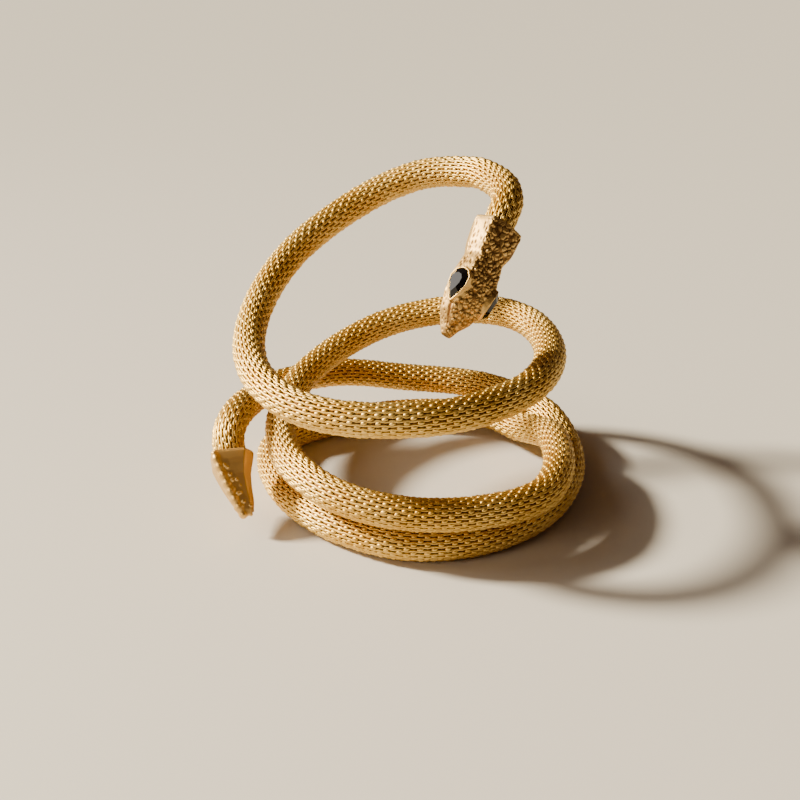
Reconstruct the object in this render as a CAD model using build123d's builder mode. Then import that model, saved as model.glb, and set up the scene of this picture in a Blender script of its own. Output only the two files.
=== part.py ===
from build123d import *
import math
import os

os.makedirs("parts", exist_ok=True)

# Snake bracelet lying on a table: a woven gold tube coiled three and a half times,
# with a cast snake head on one end and a cast cap on the other.
# The wrist axis is Z through the origin, and the lowest turn rests on Z = 0.
# +X is the right of the coil with the head facing the viewer, who stands at -Y.

# Driving dimensions, in millimetres
loop_radius = 35.0  # from the wrist axis to the centre of the tube, on an even turn
coil_height = 62.4  # from the centre of the lowest turn up to the top of the first turn
tube_diameter = 7.2  # woven tube, over its wires
head_length = 26.3  # collar rim to nose
collar_cheek = 1.85  # collar outside the tube, at each cheek
collar_wall = 1.05  # and at the crown and throat
cap_length = 14.2  # rim to tip
cap_wall = 0.6  # cap outside the tube, at the rim
eye_length = 6.8  # pear cut stone, round end to point
eye_width = 4.2
eye_crown = 0.8  # girdle up to table
eye_girdle = 0.2  # its straight edge
eye_pavilion = 1.1  # girdle down to culet
eye_table = 0.62  # table, share of the girdle
eye_culet = 0.12  # flat foot, share of the girdle
eye_corners = 12
eye_lift = 0.2  # girdle above the cheek
pear_fullness = 0.77  # widest place of the pear curve, for a width of two
bezel_wall = 0.35  # rim of metal round a stone
bezel_height = 0.2  # rim above the girdle
scale_spacing = 1.7  # between raised scales on the crown
scale_fill = 0.84  # across a scale, share of the pitch
scale_height = 0.3  # above the crown
scale_root = 0.5  # and sunk into it
scale_taper = 12  # degrees, of a scale's sides
head_socket = 5.0  # tube held in the collar
cap_socket = 4.0  # tube held in the tail cap
socket_clearance = 0.15  # all round the tube, and behind its end
stone_clearance = 0.08  # between a stone and its seat
coil_step = 12.0  # most degrees of turn in one straight run of the tube
hook_step = 5.0  # and where it hooks over
neck_end = 55  # turn where the neck's hook ends
tail_start = 1225  # and where the tail's begins
run_share = 0.47  # of a run, taken up by the arc at each end of it

# Sizes that follow from these
tube_radius = tube_diameter / 2
socket_radius = tube_radius + socket_clearance
head_width = 2 * (socket_radius + collar_cheek)
head_depth = 2 * (socket_radius + collar_wall)
cap_radius = socket_radius + cap_wall

# Which way the head's crown looks, and the cap's broad side
crown_facing = Vector(0.52, -0.75, 0.41)
cap_facing = Vector(0.00, -0.90, 0.43)

# The coil, one row for each place that shapes it:
# turn, degrees round the wrist axis from +X;
# reach, share of loop_radius, and aside, tube diameters further out;
# rise, share of coil_height, and stack, tube diameters further up.
TURN, REACH, ASIDE, RISE, STACK = range(5)
coil_rows = [
    (3, 0.514, 0.00, 0.896, 0.50),
    (9, 0.552, 0.00, 0.929, 0.50),
    (17, 0.609, 0.00, 0.961, 0.50),
    (30, 0.674, 0.00, 0.986, 0.50),
    (45, 0.751, 0.00, 0.997, 0.50),
    (60, 0.829, 0.00, 1.000, 0.50),
    (90, 0.914, 0.00, 0.955, 0.50),
    (135, 0.971, 0.00, 0.756, 0.50),
    (180, 1.006, 0.00, 0.543, 0.50),
    (225, 1.029, 0.00, 0.455, 0.50),
    (270, 0.971, 0.00, 0.455, 0.50),
    (315, 0.900, 0.00, 0.463, 0.50),
    (360, 0.871, 0.00, 0.471, 0.50),
    (405, 0.929, 0.00, 0.463, 0.50),
    (450, 0.943, 0.00, 0.388, 0.50),
    (495, 0.900, 0.00, 0.263, 0.50),
    (518, 0.867, 0.00, 0.213, 0.50),
    (540, 0.851, 0.00, 0.173, 0.50),
    (560, 0.857, 0.00, 0.154, 0.50),
    (585, 0.900, 0.00, 0.033, 1.48),
    (607, 0.943, 0.00, 0.014, 1.52),
    (630, 0.963, 0.08, 0.000, 1.54),
    (652, 1.000, 0.14, 0.000, 1.51),
    (675, 1.000, 0.34, 0.000, 1.48),
    (690, 1.000, 0.13, 0.000, 1.53),
    (705, 1.000, -0.15, 0.000, 1.55),
    (720, 1.000, -0.39, 0.000, 1.52),
    (733, 1.000, -0.62, 0.000, 1.22),
    (747, 1.000, -0.80, 0.000, 0.93),
    (765, 1.000, -0.80, 0.037, 0.50),
    (790, 0.789, 0.00, 0.009, 0.50),
    (812, 0.760, 0.00, 0.001, 0.50),
    (840, 0.774, 0.00, 0.000, 0.50),
    (862, 0.871, 0.00, 0.000, 0.50),
    (884, 0.963, 0.00, 0.000, 0.50),
    (900, 0.926, 0.00, 0.000, 0.50),
    (915, 0.889, 0.00, 0.000, 0.50),
    (930, 0.874, 0.00, 0.000, 0.50),
    (945, 0.874, 0.00, 0.000, 0.50),
    (967, 0.903, 0.00, 0.000, 0.50),
    (990, 0.963, 0.00, 0.000, 0.50),
    (1012, 0.985, 0.00, 0.000, 0.50),
    (1035, 1.000, 0.00, 0.000, 0.50),
    (1060, 1.000, 0.10, 0.001, 0.50),
    (1080, 1.000, 0.29, 0.014, 0.50),
    (1095, 1.000, 0.38, 0.044, 0.50),
    (1108, 1.000, 0.37, 0.075, 0.50),
    (1130, 1.000, 0.10, 0.099, 0.50),
    (1170, 1.000, 0.00, 0.101, 0.50),
    (1200, 1.043, 0.00, 0.148, 0.50),
    (1225, 0.934, 0.70, 0.178, 0.50),
    (1240, 0.868, 1.05, 0.200, 0.50),
    (1250, 1.083, 0.00, 0.213, 0.50),
    (1262, 1.103, 0.00, 0.236, 0.50),
    (1268, 1.133, 0.00, 0.238, 0.50),
    (1272, 1.160, 0.00, 0.230, 0.50),
    (1276, 1.188, 0.00, 0.207, 0.50),
    (1280, 1.197, 0.00, 0.163, 0.50),
]


def between_rows(turn, column):
    """A column of the coil table at any turn, on a smooth curve through its rows."""
    last = len(coil_rows) - 1
    low = max(i for i in range(last) if coil_rows[i][TURN] <= turn or i == 0)
    high = low + 1

    def slope(i):
        before, after = coil_rows[max(i - 1, 0)], coil_rows[min(i + 1, last)]
        return (after[column] - before[column]) / (after[TURN] - before[TURN])

    span = coil_rows[high][TURN] - coil_rows[low][TURN]
    t = (turn - coil_rows[low][TURN]) / span
    return (
        (2 * t**3 - 3 * t**2 + 1) * coil_rows[low][column]
        + (t**3 - 2 * t**2 + t) * span * slope(low)
        + (3 * t**2 - 2 * t**3) * coil_rows[high][column]
        + (t**3 - t**2) * span * slope(high)
    )


def coil_point(turn):
    """The centre of the tube at a turn."""
    out = loop_radius * between_rows(turn, REACH) + tube_diameter * between_rows(turn, ASIDE)
    up = coil_height * between_rows(turn, RISE) + tube_diameter * between_rows(turn, STACK)
    angle = math.radians(turn)
    return Vector(out * math.cos(angle), out * math.sin(angle), up)


def coil_heading(turn):
    """The tube's direction at a turn, from head to tail."""
    nudge = 0.5
    return (coil_point(turn + nudge) - coil_point(turn - nudge)).normalized()


# The woven tube, from inside the collar to inside the tail cap, along straight runs
# joined by tangent arcs, with shorter runs where the neck and the tail hook over
turns = []
for row, following in zip(coil_rows, coil_rows[1:]):
    hooked = following[TURN] <= neck_end or row[TURN] >= tail_start
    gap = following[TURN] - row[TURN]
    runs = math.ceil(gap / (hook_step if hooked else coil_step))
    turns += [row[TURN] + gap * i / runs for i in range(runs)]
first_turn = coil_rows[0][TURN]
last_turn = coil_rows[-1][TURN]
collar_centre = coil_point(first_turn)
head_axis = coil_heading(first_turn) * -1
cap_centre = coil_point(last_turn)
cap_axis = coil_heading(last_turn)

route = [collar_centre + head_axis * head_socket]
route += [coil_point(turn) for turn in turns]
route += [cap_centre, cap_centre + cap_axis * cap_socket]


def bend(before, corner, after):
    """The radius of the arc at a corner of the route, as large as its runs allow."""
    half_turn = math.radians((corner - before).get_angle(after - corner)) / 2
    shorter = min((corner - before).length, (after - corner).length)
    return run_share * shorter / math.tan(half_turn)


with BuildPart() as woven_tube:
    with BuildLine():
        corners = zip(route, route[1:], route[2:])
        course = FilletPolyline(*route, radius=[bend(*corner) for corner in corners])
    with BuildSketch(Plane(origin=course @ 0, z_dir=course % 0)):
        Circle(tube_radius)
    sweep()

# The cast head, in sections from collar to nose:
# along, share of head_length;
# ridge, half width of the crown, cheek, half width over the cheeks, and
# throat, half width below, as shares of head_width;
# middle, ridge_up, cheek_up and throat_up, heights as shares of head_depth.
head_rows = [
    (0.00, 0.35, 0.50, 0.30, 0.49, 0.42, 0.00, -0.47),
    (0.048, 0.36, 0.52, 0.31, 0.50, 0.43, 0.00, -0.47),
    (0.171, 0.36, 0.47, 0.29, 0.49, 0.43, 0.00, -0.45),
    (0.228, 0.34, 0.46, 0.28, 0.48, 0.41, -0.01, -0.42),
    (0.314, 0.27, 0.39, 0.24, 0.41, 0.36, -0.02, -0.36),
    (0.418, 0.30, 0.44, 0.27, 0.43, 0.39, 0.00, -0.32),
    (0.551, 0.33, 0.49, 0.30, 0.45, 0.40, 0.01, -0.31),
    (0.694, 0.32, 0.46, 0.29, 0.40, 0.36, -0.04, -0.31),
    (0.827, 0.25, 0.36, 0.24, 0.24, 0.19, -0.12, -0.30),
    (0.917, 0.14, 0.21, 0.15, 0.06, 0.02, -0.17, -0.29),
    (1.000, 0.06, 0.12, 0.07, -0.03, -0.06, -0.15, -0.22),
]
eye_along = 0.64  # centre of each stone, share of head_length
scale_first = 0.086  # first and last rows of scales on the crown
scale_last = 0.885
eye_high = 0.62  # centre of each stone, share of the cheek facet up to the crown


def across(axis, facing):
    """The x of a plane across an axis, whose y leans towards facing."""
    return facing.cross(axis).normalized()


def head_plane(along):
    centre = collar_centre + head_axis * (head_length * along)
    return Plane(origin=centre, x_dir=across(head_axis, crown_facing), z_dir=head_axis)


def head_section(along):
    """Half widths and heights of the head in millimetres at any place between its rows."""
    for row, following in zip(head_rows, head_rows[1:]):
        if along <= following[0]:
            break
    part_way = (along - row[0]) / (following[0] - row[0])
    shares = [low + (high - low) * part_way for low, high in zip(row[1:], following[1:])]
    return [share * head_width for share in shares[:3]] + [share * head_depth for share in shares[3:]]


def pear_points(share=1.0):
    """A pear cut stone's girdle or a share of it, its point at +X, its round end at -X."""
    points = []
    for corner in range(eye_corners):
        angle = 2 * math.pi * corner / eye_corners
        belly = math.sin(angle) * math.sin(angle / 2) / pear_fullness
        points.append((share * eye_length / 2 * math.cos(angle), share * eye_width / 2 * belly))
    return points


def cheek_edges(along, side):
    """The points where a cheek facet meets the crown and the side of the head."""
    ridge, cheek, _, _, ridge_up, cheek_up, _ = head_section(along)
    frame = head_plane(along)
    crown_edge = frame.from_local_coords(Vector(side * ridge, ridge_up))
    cheek_edge = frame.from_local_coords(Vector(side * cheek, cheek_up))
    return crown_edge, cheek_edge


def eye_plane(side):
    """The girdle plane of one eye, on the cheek facet, looking out of the head."""
    reach = eye_length / 2 / head_length
    behind = sum(cheek_edges(eye_along - reach, side), Vector()) / 2
    ahead = sum(cheek_edges(eye_along + reach, side), Vector()) / 2
    crown_edge, cheek_edge = cheek_edges(eye_along, side)
    outward = (ahead - behind).cross(cheek_edge - crown_edge) * side
    middle = crown_edge * eye_high + cheek_edge * (1 - eye_high)
    lift = outward.normalized() * eye_lift
    return Plane(origin=middle + lift, x_dir=ahead - behind, z_dir=outward)


with BuildPart() as head:
    for row in head_rows:
        ridge, cheek, throat, middle, ridge_up, cheek_up, throat_up = head_section(row[0])
        right_side = [(ridge, ridge_up), (cheek, cheek_up), (throat, throat_up)]
        left_side = [(-x, y) for x, y in reversed(right_side)]
        with BuildSketch(head_plane(row[0])):
            Polygon((0, middle), *right_side, *left_side, align=None)
    loft(ruled=True)
    with BuildSketch(head_plane(0)):
        Circle(socket_radius)
    extrude(amount=head_socket + socket_clearance, mode=Mode.SUBTRACT)
    # Raised scales, in staggered rows across the crown
    scale_rows = round(head_length * (scale_last - scale_first) / scale_spacing)
    for number in range(scale_rows + 1):
        along = scale_first + (scale_last - scale_first) * number / scale_rows
        ridge, _, _, middle, ridge_up, _, _ = head_section(along)
        in_row = max(1, round(2 * ridge / scale_spacing) - number % 2)
        frame = head_plane(along)
        for place in range(in_row):
            aside = scale_spacing * (place - (in_row - 1) / 2)
            surface = middle + (ridge_up - middle) * abs(aside) / ridge
            foot = frame.from_local_coords(Vector(aside, surface - scale_root))
            with BuildSketch(Plane(origin=foot, x_dir=head_axis, z_dir=frame.y_dir)):
                RegularPolygon(scale_spacing * scale_fill / 2, 6)
            extrude(amount=scale_root + scale_height, taper=scale_taper)
    # A rim and a seat for each stone
    for side in (1, -1):
        with BuildSketch(eye_plane(side).offset(-eye_pavilion)):
            Polygon(*pear_points(), align=None)
            offset(amount=stone_clearance + bezel_wall, kind=Kind.INTERSECTION)
        extrude(amount=eye_pavilion + bezel_height)
        with BuildSketch(eye_plane(side).offset(-eye_pavilion - stone_clearance)):
            Polygon(*pear_points(), align=None)
            offset(amount=stone_clearance, kind=Kind.INTERSECTION)
        extrude(amount=eye_pavilion + stone_clearance + bezel_height + eye_crown, mode=Mode.SUBTRACT)

eyes = {}
for name, side in (("eye_right", 1), ("eye_left", -1)):
    with BuildPart() as stone:
        girdle = eye_plane(side)
        with BuildSketch(girdle.offset(-eye_pavilion)):
            Polygon(*pear_points(eye_culet), align=None)
        with BuildSketch(girdle):
            Polygon(*pear_points(), align=None)
        loft(ruled=True)
        with BuildSketch(girdle):
            Polygon(*pear_points(), align=None)
        extrude(amount=eye_girdle)
        with BuildSketch(girdle.offset(eye_girdle)):
            Polygon(*pear_points(), align=None)
        with BuildSketch(girdle.offset(eye_girdle + eye_crown)):
            Polygon(*pear_points(eye_table), align=None)
        loft(ruled=True)
    eyes[name] = stone

# The tail cap, in sections from rim to tip, its crest on the broad side:
# along, share of cap_length;
# left, right, front and back, how far each side stands out, and
# crest_aside and crest_up, where the crest stands, as shares of cap_radius.
cap_rows = [
    (0.00, 1.00, 1.12, 1.02, 1.00, -0.56, 1.14),
    (0.05, 1.00, 1.20, 1.06, 1.03, -0.54, 1.16),
    (0.15, 0.98, 1.13, 1.04, 1.02, -0.47, 1.13),
    (0.24, 0.98, 1.04, 1.00, 1.00, -0.38, 1.06),
    (0.38, 0.82, 0.93, 0.80, 0.82, -0.26, 0.92),
    (0.57, 0.57, 0.90, 0.60, 0.60, -0.10, 0.74),
    (0.79, 0.23, 0.92, 0.42, 0.40, 0.12, 0.52),
    (0.92, -0.05, 0.86, 0.30, 0.28, 0.28, 0.38),
    (1.00, -0.25, 0.72, 0.14, 0.12, 0.36, 0.20),
]
cap_shoulder = 0.76  # where the corners between two sides stand, share of the way out


def cap_plane(along):
    centre = cap_centre + cap_axis * (cap_length * along)
    return Plane(origin=centre, x_dir=across(cap_axis, cap_facing), z_dir=cap_axis)


with BuildPart() as tail_cap:
    for along, *shares in cap_rows:
        left, right, front, back, crest_aside, crest_up = [cap_radius * share for share in shares]
        middle = (right - left) / 2
        corner = (right + left) / 2 * cap_shoulder
        outline = [
            (crest_aside, crest_up),
            (middle + corner, front * cap_shoulder),
            (right, 0),
            (middle + corner, -back * cap_shoulder),
            (middle, -back),
            (middle - corner, -back * cap_shoulder),
            (-left, 0),
            (middle - corner, front * cap_shoulder),
        ]
        with BuildSketch(cap_plane(along)):
            Polygon(*outline, align=None)
    loft(ruled=True)
    with BuildSketch(cap_plane(0)):
        Circle(socket_radius)
    extrude(amount=cap_socket + socket_clearance, mode=Mode.SUBTRACT)

pieces = {"woven_tube": woven_tube, "head": head, "tail_cap": tail_cap, **eyes}
for name, piece in pieces.items():
    piece.part.label = name
    export_step(piece.part, f"parts/{name}.step")
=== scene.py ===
"""A woven gold snake bracelet, coiled on a pale floor: wire weave, cast head and tail cap, black stones."""
import math

import bmesh
import bpy
import numpy as np
from mathutils import Matrix, Vector, noise


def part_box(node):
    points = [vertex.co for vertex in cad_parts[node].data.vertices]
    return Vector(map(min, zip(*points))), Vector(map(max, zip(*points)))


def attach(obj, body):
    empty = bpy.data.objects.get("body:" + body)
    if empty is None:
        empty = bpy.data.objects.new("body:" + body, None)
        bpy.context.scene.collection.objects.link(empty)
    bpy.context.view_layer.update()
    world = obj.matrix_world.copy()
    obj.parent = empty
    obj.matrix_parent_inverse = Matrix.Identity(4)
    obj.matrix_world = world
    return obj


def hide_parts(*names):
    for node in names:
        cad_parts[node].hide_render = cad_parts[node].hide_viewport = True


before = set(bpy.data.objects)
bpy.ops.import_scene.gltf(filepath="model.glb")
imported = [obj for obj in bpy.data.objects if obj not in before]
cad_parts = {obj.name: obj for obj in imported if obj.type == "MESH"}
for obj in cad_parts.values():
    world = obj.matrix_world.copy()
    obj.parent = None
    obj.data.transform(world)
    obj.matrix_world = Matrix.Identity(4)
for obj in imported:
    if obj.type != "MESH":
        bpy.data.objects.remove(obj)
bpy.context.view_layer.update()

MM = 0.001

# Sizes in millimetres, the same as the solid model's
loop_radius = 35.0
coil_height = 62.4
tube_diameter = 7.2
head_length = 26.3
head_socket = 5.0  # depth of the tube's seat in the collar
cap_length = 14.2
cap_socket = 4.0  # depth of the tube's seat in the cap
cap_radius = 4.35
crown_facing = Vector((0.52, -0.75, 0.41))  # the way that the head's crown looks
cap_facing = Vector((0.00, -0.90, 0.43))  # the way that the cap's front looks

# The weave, in millimetres
tube_radius = tube_diameter / 2
cells_round = 12  # pairs of rows round the tube, set half a cell apart
cell_length = 2.5  # from one knot to the next in a row
row_angle = math.pi / cells_round
row_spacing = math.pi * tube_radius / cells_round
wire_width = 0.56
wire_depth = 0.13  # top of a wire below the top of a knot
wire_sway = (row_spacing - wire_width) * 0.22  # how far a wire swings to each side
wire_sides = 6
wire_steps = 4  # straight pieces in one cell's length of wire
knot_length = 1.25
knot_width = 0.90
knot_height = 0.66
knot_turn = 14  # degrees that a knot lies askew
core_depth = 0.52  # dark core below the top of a knot
uneven_reach = 1.3  # how far a knot's own shift is felt
uneven_shift = (0.16, 0.12, 0.12)  # along and across the tube
uneven_seed = 7  # without it the shifts would differ from run to run
weave_in_collar = 1.2  # the weave starts at most this far past the collar's rim
weave_in_cap = 0.3  # and ends at least this far past the cap's rim
skin_pieces = 4

# The coil, one row for each place that shapes it:
# turn, degrees round the wrist axis from +X;
# reach, share of loop_radius, and aside, tube diameters further out;
# rise, share of coil_height, and stack, tube diameters further up.
TURN, REACH, ASIDE, RISE, STACK = range(5)
coil_rows = [
    (3, 0.514, 0.00, 0.896, 0.50),
    (9, 0.552, 0.00, 0.929, 0.50),
    (17, 0.609, 0.00, 0.961, 0.50),
    (30, 0.674, 0.00, 0.986, 0.50),
    (45, 0.751, 0.00, 0.997, 0.50),
    (60, 0.829, 0.00, 1.000, 0.50),
    (90, 0.914, 0.00, 0.955, 0.50),
    (135, 0.971, 0.00, 0.756, 0.50),
    (180, 1.006, 0.00, 0.543, 0.50),
    (225, 1.029, 0.00, 0.455, 0.50),
    (270, 0.971, 0.00, 0.455, 0.50),
    (315, 0.900, 0.00, 0.463, 0.50),
    (360, 0.871, 0.00, 0.471, 0.50),
    (405, 0.929, 0.00, 0.463, 0.50),
    (450, 0.943, 0.00, 0.388, 0.50),
    (495, 0.900, 0.00, 0.263, 0.50),
    (518, 0.867, 0.00, 0.213, 0.50),
    (540, 0.851, 0.00, 0.173, 0.50),
    (560, 0.857, 0.00, 0.154, 0.50),
    (585, 0.900, 0.00, 0.033, 1.48),
    (607, 0.943, 0.00, 0.014, 1.52),
    (630, 0.963, 0.08, 0.000, 1.54),
    (652, 1.000, 0.14, 0.000, 1.51),
    (675, 1.000, 0.34, 0.000, 1.48),
    (690, 1.000, 0.13, 0.000, 1.53),
    (705, 1.000, -0.15, 0.000, 1.55),
    (720, 1.000, -0.39, 0.000, 1.52),
    (733, 1.000, -0.62, 0.000, 1.22),
    (747, 1.000, -0.80, 0.000, 0.93),
    (765, 1.000, -0.80, 0.037, 0.50),
    (790, 0.789, 0.00, 0.009, 0.50),
    (812, 0.760, 0.00, 0.001, 0.50),
    (840, 0.774, 0.00, 0.000, 0.50),
    (862, 0.871, 0.00, 0.000, 0.50),
    (884, 0.963, 0.00, 0.000, 0.50),
    (900, 0.926, 0.00, 0.000, 0.50),
    (915, 0.889, 0.00, 0.000, 0.50),
    (930, 0.874, 0.00, 0.000, 0.50),
    (945, 0.874, 0.00, 0.000, 0.50),
    (967, 0.903, 0.00, 0.000, 0.50),
    (990, 0.963, 0.00, 0.000, 0.50),
    (1012, 0.985, 0.00, 0.000, 0.50),
    (1035, 1.000, 0.00, 0.000, 0.50),
    (1060, 1.000, 0.10, 0.001, 0.50),
    (1080, 1.000, 0.29, 0.014, 0.50),
    (1095, 1.000, 0.38, 0.044, 0.50),
    (1108, 1.000, 0.37, 0.075, 0.50),
    (1130, 1.000, 0.10, 0.099, 0.50),
    (1170, 1.000, 0.00, 0.101, 0.50),
    (1200, 1.043, 0.00, 0.148, 0.50),
    (1225, 0.934, 0.70, 0.178, 0.50),
    (1240, 0.868, 1.05, 0.200, 0.50),
    (1250, 1.083, 0.00, 0.213, 0.50),
    (1262, 1.103, 0.00, 0.236, 0.50),
    (1268, 1.133, 0.00, 0.238, 0.50),
    (1272, 1.160, 0.00, 0.230, 0.50),
    (1276, 1.188, 0.00, 0.207, 0.50),
    (1280, 1.197, 0.00, 0.163, 0.50),
]


def between_rows(turn, column):
    """A column of the coil table at any turn, on a smooth curve through its rows."""
    last = len(coil_rows) - 1
    low = max(i for i in range(last) if coil_rows[i][TURN] <= turn or i == 0)
    high = low + 1

    def slope(i):
        """How fast the column changes at a row."""
        before, after = coil_rows[max(i - 1, 0)], coil_rows[min(i + 1, last)]
        return (after[column] - before[column]) / (after[TURN] - before[TURN])

    span = coil_rows[high][TURN] - coil_rows[low][TURN]
    t = (turn - coil_rows[low][TURN]) / span
    return (
        (2 * t**3 - 3 * t**2 + 1) * coil_rows[low][column]
        + (t**3 - 2 * t**2 + t) * span * slope(low)
        + (3 * t**2 - 2 * t**3) * coil_rows[high][column]
        + (t**3 - t**2) * span * slope(high)
    )


def coil_point(turn):
    """The centre of the tube at a turn, in millimetres."""
    out = loop_radius * between_rows(turn, REACH) + tube_diameter * between_rows(turn, ASIDE)
    up = coil_height * between_rows(turn, RISE) + tube_diameter * between_rows(turn, STACK)
    angle = math.radians(turn)
    return Vector((out * math.cos(angle), out * math.sin(angle), up))


first_turn = coil_rows[0][TURN]
last_turn = coil_rows[-1][TURN]
collar_centre = coil_point(first_turn)
cap_centre = coil_point(last_turn)
head_axis = (coil_point(first_turn) - coil_point(first_turn + 1)).normalized()
cap_axis = (coil_point(last_turn) - coil_point(last_turn - 1)).normalized()


class Centreline:
    """The tube's centre line from inside the collar to inside the cap, with a frame that doesn't twist."""

    def __init__(self):
        points = [collar_centre + head_axis * head_socket]
        points += [coil_point(turn) for turn in range(first_turn, last_turn + 1)]
        points += [cap_centre + cap_axis * cap_socket]
        self.points = np.array(points)
        steps = np.linalg.norm(np.diff(self.points, axis=0), axis=1)
        self.along = np.concatenate([[0.0], np.cumsum(steps)])
        self.length = self.along[-1]
        forward = np.gradient(self.points, self.along, axis=0)
        self.forward = forward / np.linalg.norm(forward, axis=1)[:, None]
        side = [np.array(Vector(self.forward[0]).orthogonal().normalized())]
        for heading in self.forward[1:]:
            carried = side[-1] - heading * np.dot(side[-1], heading)
            side.append(carried / np.linalg.norm(carried))
        self.side = np.array(side)

    def at(self, distances, rows):
        """Rows of points or directions, read between the centre line's own points."""
        return np.stack([np.interp(distances, self.along, rows[:, i]) for i in range(3)], 1)

    def bend(self, straight):
        """Points of a straight tube along +X, laid along the centre line."""
        distances = straight[:, 0]
        forward = self.at(distances, self.forward)
        side = self.at(distances, self.side)
        forward /= np.linalg.norm(forward, axis=1)[:, None]
        side -= forward * (side * forward).sum(1)[:, None]
        side /= np.linalg.norm(side, axis=1)[:, None]
        up = np.cross(forward, side)
        return self.at(distances, self.points) + side * straight[:, 1:2] + up * straight[:, 2:3]


centreline = Centreline()

# Materials

# Real sizes of their patterns, in millimetres
tarnish_patch = 9.0
inner_wire = 0.8
casting_grain = 0.35
casting_bump = 0.06


def to_linear(colour):
    """Linear red, green, blue and alpha of an sRGB hex colour."""
    parts = [int(colour[i : i + 2], 16) / 255 for i in (1, 3, 5)]
    return [c / 12.92 if c <= 0.04045 else ((c + 0.055) / 1.055) ** 2.4 for c in parts] + [1.0]


def add_node(tree, kind, inputs=(), links=(), **settings):
    """A node of that kind, with its settings, its input values and links into its inputs."""
    node = tree.nodes.new(kind)
    for name, value in settings.items():
        setattr(node, name, value)
    for name, value in dict(inputs).items():
        node.inputs[name].default_value = value
    for name, output in dict(links).items():
        tree.links.new(output, node.inputs[name])
    return node


def new_material(name):
    """A material with nothing but a plain shader, and its tree and shader."""
    material = bpy.data.materials.new(name)
    material.use_nodes = True
    tree = material.node_tree
    tree.nodes.clear()
    shader = add_node(tree, "ShaderNodeBsdfPrincipled")
    add_node(tree, "ShaderNodeOutputMaterial", links={"Surface": shader.outputs["BSDF"]})
    return material, tree, shader


def set_tones(node, *stops):
    """Sets the two ends of a node's colour ramp, each a position and a colour."""
    for end, (position, colour) in zip(node.color_ramp.elements, stops):
        end.position = position
        end.color = to_linear(colour)


def drawn_gold_wire():
    """Fine drawn gold wire, satin from wear: pale champagne with a little tarnish in patches."""
    material, tree, shader = new_material("drawn_gold_wire")
    place = add_node(tree, "ShaderNodeTexCoord").outputs["Object"]
    patch_scale = 1 / (tarnish_patch * MM)
    patches = add_node(tree, "ShaderNodeTexNoise", {"Scale": patch_scale, "Detail": 3.0}, {"Vector": place})
    tone = add_node(tree, "ShaderNodeValToRGB", links={"Fac": patches.outputs["Fac"]})
    set_tones(tone, (0.35, "#DBAF50"), (0.65, "#ECC870"))
    tree.links.new(tone.outputs["Color"], shader.inputs["Base Color"])
    shader.inputs["Metallic"].default_value = 1.0
    shader.inputs["Roughness"].default_value = 0.46
    return material


def shaded_gold_core():
    """What shows between the wires: the inner wires, their gold darkened to brown as painted shade."""
    material, tree, shader = new_material("shaded_gold_core")
    place = add_node(tree, "ShaderNodeTexCoord").outputs["Object"]
    wire_scale = 1 / (inner_wire * MM)
    wires = add_node(tree, "ShaderNodeTexNoise", {"Scale": wire_scale, "Detail": 2.0}, {"Vector": place})
    tone = add_node(tree, "ShaderNodeValToRGB", links={"Fac": wires.outputs["Fac"]})
    set_tones(tone, (0.0, "#4C2C14"), (1.0, "#80562A"))
    tree.links.new(tone.outputs["Color"], shader.inputs["Base Color"])
    shader.inputs["Metallic"].default_value = 0.8
    shader.inputs["Roughness"].default_value = 0.5
    return material


def cast_gold():
    """Cast and chased gold: pale gold, darkened towards brown as painted shade in its grooves, pits, crease
    and cheeks, and duller there.
    """
    material, tree, shader = new_material("cast_gold")
    hollow_shade = add_node(tree, "ShaderNodeAttribute", attribute_name="hollow_shade").outputs["Fac"]
    shade_tone = add_node(tree, "ShaderNodeValToRGB", links={"Fac": hollow_shade})
    set_tones(shade_tone, (0.10, "#DCB670"), (0.85, "#6C4422"))
    tree.links.new(shade_tone.outputs["Color"], shader.inputs["Base Color"])
    polish = add_node(tree, "ShaderNodeMapRange", {"To Min": 0.46, "To Max": 0.60}, {"Value": hollow_shade})
    tree.links.new(polish.outputs["Result"], shader.inputs["Roughness"])
    place = add_node(tree, "ShaderNodeTexCoord").outputs["Object"]
    grain_scale = 1 / (casting_grain * MM)
    grain = add_node(tree, "ShaderNodeTexNoise", {"Scale": grain_scale, "Detail": 3.0}, {"Vector": place})
    strength = {"Strength": 0.35, "Distance": casting_bump * MM}
    bump = add_node(tree, "ShaderNodeBump", strength, {"Height": grain.outputs["Fac"]})
    tree.links.new(bump.outputs["Normal"], shader.inputs["Normal"])
    shader.inputs["Metallic"].default_value = 1.0
    return material


def black_stone():
    """Polished black onyx: near black with sharp reflections on its facets."""
    material, _, shader = new_material("black_onyx")
    shader.inputs["Base Color"].default_value = to_linear("#0B0A0B")
    shader.inputs["Roughness"].default_value = 0.06
    shader.inputs["IOR"].default_value = 1.54
    return material


wire_gold = drawn_gold_wire()
core_gold = shaded_gold_core()
cast_metal = cast_gold()
onyx = black_stone()


def finished_object(name, mesh, material):
    """A smooth shaded piece at the origin that rides on the bracelet."""
    mesh.materials.clear()
    mesh.materials.append(material)
    mesh.shade_smooth()
    piece = bpy.data.objects.new(name, mesh)
    bpy.context.scene.collection.objects.link(piece)
    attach(piece, "root")
    return piece


def evaluated_mesh(piece):
    """The piece's mesh with its modifiers applied, in a new mesh."""
    graph = bpy.context.evaluated_depsgraph_get()
    return bpy.data.meshes.new_from_object(piece.evaluated_get(graph))


# Woven tube

lengthwise = Matrix.Rotation(math.radians(90), 3, "Y")  # lays what stands up along the tube


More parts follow.
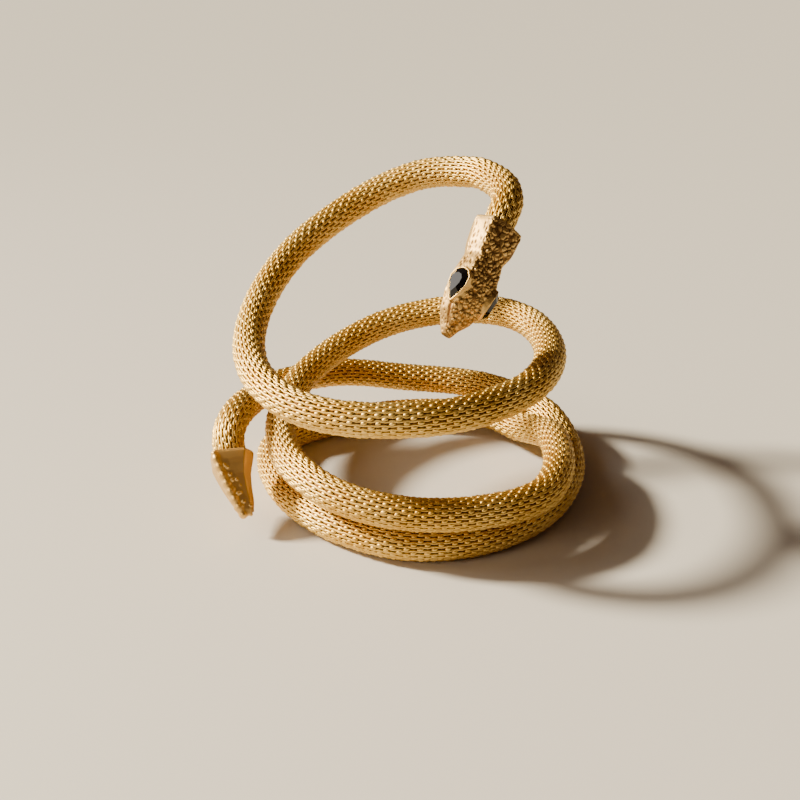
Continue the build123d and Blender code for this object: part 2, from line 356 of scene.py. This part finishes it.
def add_wire(cell, row):
    """One cell's length of a wire beside a row of knots, swaying from side to side."""
    radius = wire_width / 2
    swing = wire_sway if row else -wire_sway
    ring = bmesh.ops.create_circle(cell, segments=wire_sides, radius=radius)["verts"]
    bmesh.ops.rotate(cell, verts=ring, matrix=lengthwise)
    bmesh.ops.translate(cell, verts=ring, vec=(0, swing, tube_radius - wire_depth - radius))
    edges = list(dict.fromkeys(edge for vert in ring for edge in vert.link_edges))
    whole = list(ring)
    phase = 2 * math.pi / wire_steps
    for step in range(wire_steps):
        grown = bmesh.ops.extrude_edge_only(cell, edges=edges)["geom"]
        ring = [item for item in grown if isinstance(item, bmesh.types.BMVert)]
        edges = [item for item in grown if isinstance(item, bmesh.types.BMEdge)]
        shift = swing * (math.cos(phase * (step + 1)) - math.cos(phase * step))
        bmesh.ops.translate(cell, verts=ring, vec=(cell_length / wire_steps, shift, 0))
        whole += ring
    about = Matrix.Rotation(row_angle * (row + 0.5), 3, "X")
    bmesh.ops.rotate(cell, verts=whole, cent=(0, 0, 0), matrix=about)


def add_knot(cell, row):
    """A flattened knot, a little askew, at the start of an even row's cell or the middle of an odd one's."""
    knot = bmesh.ops.create_uvsphere(cell, u_segments=6, v_segments=5, radius=0.5)["verts"]
    bmesh.ops.rotate(cell, verts=knot, matrix=lengthwise)
    bmesh.ops.scale(cell, verts=knot, vec=(knot_length, knot_width, knot_height))
    bmesh.ops.rotate(cell, verts=knot, matrix=Matrix.Rotation(math.radians(knot_turn), 3, "Z"))
    middle = (cell_length / 2 * row, 0, tube_radius - knot_height / 2)
    bmesh.ops.translate(cell, verts=knot, vec=middle)
    bmesh.ops.rotate(cell, verts=knot, cent=(0, 0, 0), matrix=Matrix.Rotation(row_angle * row, 3, "X"))


def woven_ring():
    """One cell's length of the whole weave, straight: a pair of rows, repeated round the tube."""
    ring = bmesh.new()
    for row in range(2):
        add_wire(ring, row)
        add_knot(ring, row)
    bmesh.ops.spin(
        ring,
        geom=ring.verts[:] + ring.edges[:] + ring.faces[:],
        cent=(0, 0, 0),
        axis=(1, 0, 0),
        angle=2 * math.pi * (cells_round - 1) / cells_round,
        steps=cells_round - 1,
        use_duplicate=True,
    )
    mesh = bpy.data.meshes.new("woven_ring")
    bmesh.ops.recalc_face_normals(ring, faces=ring.faces[:])
    ring.to_mesh(mesh)
    ring.free()
    return mesh


def core_ring():
    """One cell's length of the core under the weave, straight."""
    ring = bmesh.new()
    radius = tube_radius - core_depth
    bmesh.ops.create_cone(
        ring, segments=2 * cells_round, radius1=radius, radius2=radius, depth=cell_length, cap_ends=False
    )
    bmesh.ops.rotate(ring, verts=ring.verts[:], matrix=lengthwise)
    bmesh.ops.translate(ring, verts=ring.verts[:], vec=(cell_length / 2, 0, 0))
    mesh = bpy.data.meshes.new("core_ring")
    ring.to_mesh(mesh)
    ring.free()
    return mesh


def mesh_points(mesh):
    """The places of a mesh's points, one row each."""
    points = np.empty(len(mesh.vertices) * 3, np.float32)
    mesh.vertices.foreach_get("co", points)
    return points.reshape(-1, 3).astype(float)


def mesh_normals(mesh):
    """The directions that a mesh's points face, one row each."""
    normals = np.empty(len(mesh.vertices) * 3, np.float32)
    mesh.vertex_normals.foreach_get("vector", normals)
    return normals.reshape(-1, 3).astype(float)


def place_points(mesh, points):
    """Moves a mesh's points to those places."""
    mesh.vertices.foreach_set("co", points.astype(np.float32).ravel())
    mesh.update()


def hand_made(straight):
    """Small shifts that leave no two knots quite alike."""
    shifts = [noise.noise_vector(Vector(point) / uneven_reach) for point in straight]
    return np.array(shifts) * uneven_shift


def laid_length(ring_mesh, first_cell, count):
    """A run of rings, joined end to end and bent along the coil."""
    source = bpy.data.objects.new("ring", ring_mesh)
    bpy.context.scene.collection.objects.link(source)
    repeat = source.modifiers.new("repeat", "ARRAY")
    repeat.count = count
    repeat.use_relative_offset = False
    repeat.use_constant_offset = True
    repeat.constant_offset_displace = (cell_length, 0, 0)
    repeat.use_merge_vertices = True
    repeat.merge_threshold = 0.01
    mesh = evaluated_mesh(source)
    bpy.data.objects.remove(source)
    straight = mesh_points(mesh)
    straight[:, 0] += first_cell * cell_length
    place_points(mesh, centreline.bend(straight + hand_made(straight)) * MM)
    return mesh


def weave_tube():
    """The woven skin in a few pieces, and the core that shows between its wires."""
    first_cell = math.ceil((head_socket - weave_in_collar) / cell_length)
    last_cell = math.ceil((centreline.length - cap_socket + weave_in_cap) / cell_length)
    count = last_cell - first_cell
    ring = woven_ring()
    ends = [first_cell + round(count * i / skin_pieces) for i in range(skin_pieces + 1)]
    for number, (start, end) in enumerate(zip(ends, ends[1:])):
        skin = laid_length(ring, start, end - start)
        piece = finished_object(f"woven_skin_{number + 1}", skin, wire_gold)
        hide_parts("woven_tube")
    core = laid_length(core_ring(), first_cell, count)
    piece = finished_object("woven_core", core, core_gold)
    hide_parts("woven_tube")


noise.seed_set(uneven_seed)
weave_tube()

# Cast head, tail cap and stones

# Their mesh, in millimetres, and the rounds that soften it
head_grain = 0.19
cap_grain = 0.17
crisp_rounds = 8
soft_rounds = 36  # the head's outer faces
collar_rounds = 110  # the collar's outer faces

# Where they are softened and chased: each pair is where something begins and where it is full.
# Radii and distances are in millimetres.
head_wall = (4.1, 4.5)  # radii between the socket's face and the outer face
cap_wall = (3.95, 4.15)
socket_end = 0.6  # past a socket's end and this much metal, every face is an outer one
rim_softening = (0.2, 0.8)  # along the head
collar_softening = (0.8, 2.4)  # the collar is rounder still
collar_fading = (6.0, 9.0)  # back to the head's own softness
stone_seat = (2.9, 4.1)  # half the width and half the length of a stone with its rim
seat_relief = (0.92, 1.06)  # shares of that seat
seat_softening = (1.05, 1.45)
crown_lift = (0.50, 0.75)  # how far a face looks up
cheek_lift = (-0.15, 0.05)
crease_side = (0.1, 0.4)  # how far a face looks aside
scale_edge = (0.0, 0.36)  # shares of a cell
pit_edge = (0.15, 0.50)
bump_edge = (0.10, 0.42)
bumps_begin = (1.0, 1.4)  # from the crest
bumps_end = (2.4, 3.0)
bumps_right = (0.0, 0.4)  # to the right of the crest
bumps_below = (1.6, 2.6)  # along the cap
cap_rim = (0.1, 0.5)  # smooth band at the cap's rim

# Their relief, in millimetres
scale_size = 1.15  # a raised scale on the crown
scale_stretch = (1, 1, 0.85)  # aside, up and along: below 1 makes the scales longer that way
scale_relief = 0.26  # groove to top
scale_sunk = 0.45  # share of that relief below the casting's face
nose_finer = 0.35  # how much finer the scales are at the nose
pit_size = 0.75  # hammered pits on the cheeks
pit_stretch = (1.5, 1.5, 0.45)  # narrow, and long along the head
pit_relief = 0.14
plain_rim = (0.7, 1.0)  # smooth band at the collar's edge, and where the relief is full
crease_depth = 0.22  # from the eye to the nose
crease_width = 0.28
crease_start = np.array((-0.2, -0.6, 3.9))  # from a stone's middle: aside, up and along
crease_end = np.array((0.6, -1.0, -0.6))  # from the tip of the nose
bead_spacing = 1.9  # from one bead of the cap's crest to the next
crest_height = 0.70
crest_width = 0.95
bead_narrowing = 0.14  # share of the crest's width that it loses between beads
bead_lowering = 0.25  # and of its height
bump_size = 1.3  # small bumps beside the crest
bump_relief = 0.28

# How much painted shade a place gets, from 0, pale gold, to 1, dark brown: over its whole face, and what a
# groove, pit or gap between bumps adds
scale_shade = (0.06, 0.70)
cheek_shade = (0.36, 0.40)
cap_shade = (0.06, 0.22)

# The cap's crest: along, share of cap_length; aside and up, shares of cap_radius
crest_line = [
    (0.00, -0.66, 1.10),
    (0.15, -0.57, 1.08),
    (0.38, -0.37, 0.88),
    (0.57, -0.21, 0.70),
    (0.79, 0.02, 0.48),
    (1.00, 0.27, 0.18),
]


def smooth_step(low, high, value):
    """0 below low, 1 above high, and a smooth rise between."""
    t = np.clip((value - low) / (high - low), 0, 1)
    return t * t * (3 - 2 * t)


def merged_copy(node):
    """The node's own shape with its points joined, and without the corner normals that it came with."""
    joined = bmesh.new()
    joined.from_mesh(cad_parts[node].data)
    bmesh.ops.remove_doubles(joined, verts=joined.verts[:], dist=0.001 * MM)
    joined.verts.index_update()
    mesh = bpy.data.meshes.new(node + "_merged")
    faces = [[vert.index for vert in face.verts] for face in joined.faces]
    mesh.from_pydata([vert.co[:] for vert in joined.verts], [], faces)
    joined.free()
    return mesh


def cast_copy(node, grain, rounds):
    """The node's own shape on an even mesh of that grain, softened as a casting."""
    source = bpy.data.objects.new(node + "_cast", merged_copy(node))
    bpy.context.scene.collection.objects.link(source)
    even = source.modifiers.new("even", "REMESH")
    even.mode = "VOXEL"
    even.voxel_size = grain * MM
    worn = source.modifiers.new("worn", "SMOOTH")
    worn.factor = 0.5
    worn.iterations = rounds
    softened = evaluated_mesh(source)
    bpy.data.objects.remove(source)
    return softened


def own_directions(axis, facing):
    """A casting's own directions, aside, up and along, from its axis and the way that its front looks."""
    aside = facing.cross(axis).normalized()
    return np.array([aside, axis.cross(aside), axis])


def read_shape(mesh, centre, axis, facing):
    """Points and normals of a mesh as aside, up and along, in millimetres."""
    own = own_directions(axis, facing).T
    return (mesh_points(mesh) / MM - np.array(centre)) @ own, mesh_normals(mesh) @ own


def raise_relief(mesh, heights, painted_shades):
    """Moves the points of a mesh out by the heights, and keeps each place's painted shade for the metal's
    colour.
    """
    place_points(mesh, mesh_points(mesh) + mesh_normals(mesh) * heights[:, None] * MM)
    hollow_shade = mesh.attributes.new("hollow_shade", "FLOAT", "POINT")
    hollow_shade.data.foreach_set("value", np.clip(painted_shades, 0, 1).astype(np.float32))


def scattered_cells(place, size):
    """How far inside its cell each point lies, 0 on the borders, and how far from the cell's middle."""
    distances = np.array([noise.voronoi(Vector(point) / size)[0][:2] for point in place])
    return distances[:, 1] - distances[:, 0], distances[:, 0]


def line_distance(place, start, end):
    """Distance of each point from a straight line between two places, and how far along it."""
    run = np.array(end) - np.array(start)
    share = np.clip((place - start) @ run / (run @ run), 0, 1)
    return np.linalg.norm(place - start - share[:, None] * run, axis=1), share * np.linalg.norm(run)


def outer_faces(place, wall, socket):
    """1 on the outer faces of a casting and 0 inside its socket."""
    aside, up, along = place.T
    return np.clip(smooth_step(*wall, np.hypot(aside, up)) + (along > socket + socket_end), 0, 1)


def eye_places():
    """The middle of each stone in the head's own directions."""
    own = own_directions(head_axis, crown_facing)
    places = {}
    for node in ("eye_right", "eye_left"):
        low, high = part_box(node)
        places[node] = own @ np.array((Vector(low) + Vector(high)) / 2 / MM - collar_centre)
    return places


def soften_head(mesh, along, soft):
    """Rounds the head where soft is 1, and its collar more than the rest."""
    points = mesh_points(mesh)
    rounder = mesh_points(cast_copy("head", head_grain, soft_rounds))
    roundest = mesh_points(cast_copy("head", head_grain, collar_rounds))
    collar = smooth_step(*collar_softening, along) * (1 - smooth_step(*collar_fading, along))
    rounder += (roundest - rounder) * collar[:, None]
    place_points(mesh, points + (rounder - points) * soft[:, None])


def nose_creases(place, facing, eyes):
    """How much of a crease each point has, on the line from each eye to the nose."""
    creases = np.zeros(len(place))
    for side, node in ((1, "eye_right"), (-1, "eye_left")):
        start = eyes[node] + crease_start * (side, 1, 1)
        end = crease_end * (side, 1, 1) + (0, 0, head_length)
        away, _ = line_distance(place, start, end)
        creases += np.exp(-((away / crease_width) ** 2)) * smooth_step(*crease_side, side * facing[:, 0])
    return creases


def chased_head():
    """The head with irregular raised scales on the crown, pitted cheeks and a crease to the nose."""
    mesh = cast_copy("head", head_grain, crisp_rounds)
    place, _ = read_shape(mesh, collar_centre, head_axis, crown_facing)
    aside, up, along = place.T
    outside = outer_faces(place, head_wall, head_socket)
    soft = outside * smooth_step(*rim_softening, along)
    beyond_eyes = np.ones(len(place))
    eyes = eye_places()
    for eye in eyes.values():
        across = np.hypot(aside - eye[0], up - eye[1])
        near = np.hypot((along - eye[2]) / stone_seat[1], across / stone_seat[0])
        beyond_eyes *= smooth_step(*seat_relief, near)
        soft *= smooth_step(*seat_softening, near)
    soften_head(mesh, along, soft)
    place, facing = read_shape(mesh, collar_centre, head_axis, crown_facing)
    along, lift = place[:, 2], facing[:, 1]
    creases = nose_creases(place, facing, eyes)
    chased = outside * beyond_eyes * smooth_step(*plain_rim, along)
    chased *= 1 - np.clip(creases, 0, 1)
    crown = smooth_step(*crown_lift, lift) * chased
    cheek = smooth_step(*cheek_lift, lift) * chased * (1 - crown)
    finer = 1 + nose_finer * np.clip(along / head_length, 0, 1)
    inside, _ = scattered_cells(place * scale_stretch * finer[:, None], scale_size)
    top = smooth_step(*scale_edge, inside)
    _, middle = scattered_cells(place * pit_stretch, pit_size)
    pit = 1 - smooth_step(*pit_edge, middle)
    heights = crown * scale_relief * (top - scale_sunk) - cheek * pit_relief * pit - creases * crease_depth
    # Painted shade: the grooves between the scales, the cheek's pits and the crease are coloured darker
    # brown, and the whole cheek a little darker too
    painted_shades = crown * (scale_shade[0] + scale_shade[1] * (1 - top)) + creases
    painted_shades += cheek * (cheek_shade[0] + cheek_shade[1] * pit)
    raise_relief(mesh, heights, painted_shades)
    piece = finished_object("chased_head", mesh, cast_metal)
    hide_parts("head")


def crest_distance(place, line):
    """Distance of each point from a line of several runs, and how far along the line it lies."""
    nearest = np.full(len(place), np.inf)
    along_line = np.zeros(len(place))
    reached = 0.0
    for start, end in zip(line, line[1:]):
        away, further = line_distance(place, start, end)
        along_line = np.where(away < nearest, reached + further, along_line)
        nearest = np.minimum(nearest, away)
        reached += np.linalg.norm(end - start)
    return nearest, along_line


def chased_cap():
    """The tail cap with a crest of beads run together, and small bumps beside it."""
    mesh = cast_copy("tail_cap", cap_grain, crisp_rounds)
    place, _ = read_shape(mesh, cap_centre, cap_axis, cap_facing)
    aside, _, along = place.T
    outside = outer_faces(place, cap_wall, cap_socket) * smooth_step(*cap_rim, along)
    line = [np.array([a * cap_radius, u * cap_radius, s * cap_length]) for s, a, u in crest_line]
    crest, along_crest = crest_distance(place, line)
    bead = 0.5 + 0.5 * np.cos(along_crest * 2 * math.pi / bead_spacing)
    width = crest_width * (1 - bead_narrowing * (1 - bead))
    height = crest_height * (1 - bead_lowering * (1 - bead))
    ridge = np.exp(-((crest / width) ** 3)) * outside
    right_of = aside - np.interp(along, [p[2] for p in line], [p[0] for p in line])
    beside = smooth_step(*bumps_begin, crest) * (1 - smooth_step(*bumps_end, crest)) * outside
    beside *= smooth_step(*bumps_right, right_of) * smooth_step(*bumps_below, along)
    _, middle = scattered_cells(place, bump_size)
    bump = 1 - smooth_step(*bump_edge, middle)
    heights = ridge * height + beside * bump_relief * bump
    # Painted shade: the cap is coloured a little darker off its crest, and darker again between the bumps
    # beside it
    painted_shades = (1 - ridge) * outside * (cap_shade[0] + cap_shade[1] * beside * (1 - bump))
    raise_relief(mesh, heights, painted_shades)
    piece = finished_object("chased_cap", mesh, cast_metal)
    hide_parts("tail_cap")


def cut_stone(node):
    """The stone with its own facets, each one flat."""
    mesh = merged_copy(node)
    piece = finished_object(node + "_stone", mesh, onyx)
    mesh.shade_flat()
    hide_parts(node)


chased_head()
chased_cap()
cut_stone("eye_left")
cut_stone("eye_right")

# Floor, light and camera

floor_size = 6.0  # metres
key_place = (-400, 105, 290)
key_aim = (0, 0, 30)
key_width = 8  # degrees, for the softness of its shadows
key_strength = 12.0
room_strength = 0.24
# Area lights: name, place, aim and size in millimetres, power in watts, colour
soft_lights = [
    ("window", (-336, 35, 339), (10, -10, 50), 240, 0.6, "#FFF8EE"),  # the near stone's table mirrors it
    ("fill", (-300, -350, 250), (0, 0, 30), 220, 0.2, "#FFE6C8"),
    ("low", (-190, -150, 120), (-45, -20, 15), 110, 0.14, "#FFE9C8"),
]
camera_lens = 45.0
camera_sensor = 36.0
camera_height = 25.5  # degrees above the horizon
camera_distance = 227.0
camera_target = Vector((-2.5, 0.0, 20.0))


def pale_floor():
    """A floor of pale paper, under the bracelet and out to the horizon."""
    bpy.ops.mesh.primitive_plane_add(size=floor_size)
    floor = bpy.context.object
    floor.name = "floor"
    material, _, shader = new_material("pale_paper")
    shader.inputs["Base Color"].default_value = to_linear("#D3CCC2")
    shader.inputs["Roughness"].default_value = 0.6
    floor.data.materials.append(material)


def aimed(lamp, place, aim):
    """Hangs a lamp at a place, looking at a point, both in millimetres."""
    holder = bpy.data.objects.new(lamp.name, lamp)
    holder.location = Vector(place) * MM
    holder.rotation_euler = (Vector(aim) - Vector(place)).to_track_quat("-Z", "Y").to_euler()
    bpy.context.scene.collection.objects.link(holder)


def soft_light(name, place, aim, size, power, colour):
    """A round area light that looks at a point, with its lengths in millimetres."""
    lamp = bpy.data.lights.new(name, "AREA")
    lamp.shape = "DISK"
    lamp.size = size * MM
    lamp.energy = power
    lamp.color = to_linear(colour)[:3]
    aimed(lamp, place, aim)


def warm_room():
    """Warm light from all round, with a pale wall where the camera looks past the floor."""
    world = bpy.data.worlds.new("studio")
    world.use_nodes = True
    tree = world.node_tree
    tree.nodes.clear()
    room = {"Color": to_linear("#8A6C58"), "Strength": room_strength}
    warm = add_node(tree, "ShaderNodeBackground", room)
    wall = add_node(tree, "ShaderNodeBackground", {"Color": to_linear("#CFC8BD"), "Strength": 1.0})
    seen = add_node(tree, "ShaderNodeLightPath").outputs["Is Camera Ray"]
    both = add_node(tree, "ShaderNodeMixShader")
    for socket, output in zip(both.inputs, (seen, warm.outputs[0], wall.outputs[0])):
        tree.links.new(output, socket)
    add_node(tree, "ShaderNodeOutputWorld", links={"Surface": both.outputs[0]})
    bpy.context.scene.world = world


def studio():
    """The floor, a low sun from the left and behind, soft lights and the room."""
    pale_floor()
    key = bpy.data.lights.new("key", "SUN")
    key.energy = key_strength
    key.angle = math.radians(key_width)
    key.color = to_linear("#FFF4DC")[:3]
    aimed(key, key_place, key_aim)
    for light in soft_lights:
        soft_light(*light)
    warm_room()


def photo_camera():
    """The camera in front of the bracelet and above it, as the photo's was."""
    lens = bpy.data.cameras.new("camera")
    lens.sensor_width = camera_sensor
    lens.lens = camera_lens
    lens.clip_start = 0.01
    lens.clip_end = 20.0
    holder = bpy.data.objects.new("camera", lens)
    tilt = math.radians(camera_height)
    away = Vector((0, -math.cos(tilt), math.sin(tilt)))
    holder.location = (camera_target + away * camera_distance) * MM
    holder.rotation_euler = (math.radians(90 - camera_height), 0, 0)
    bpy.context.scene.collection.objects.link(holder)
    bpy.context.scene.camera = holder


studio()
photo_camera()
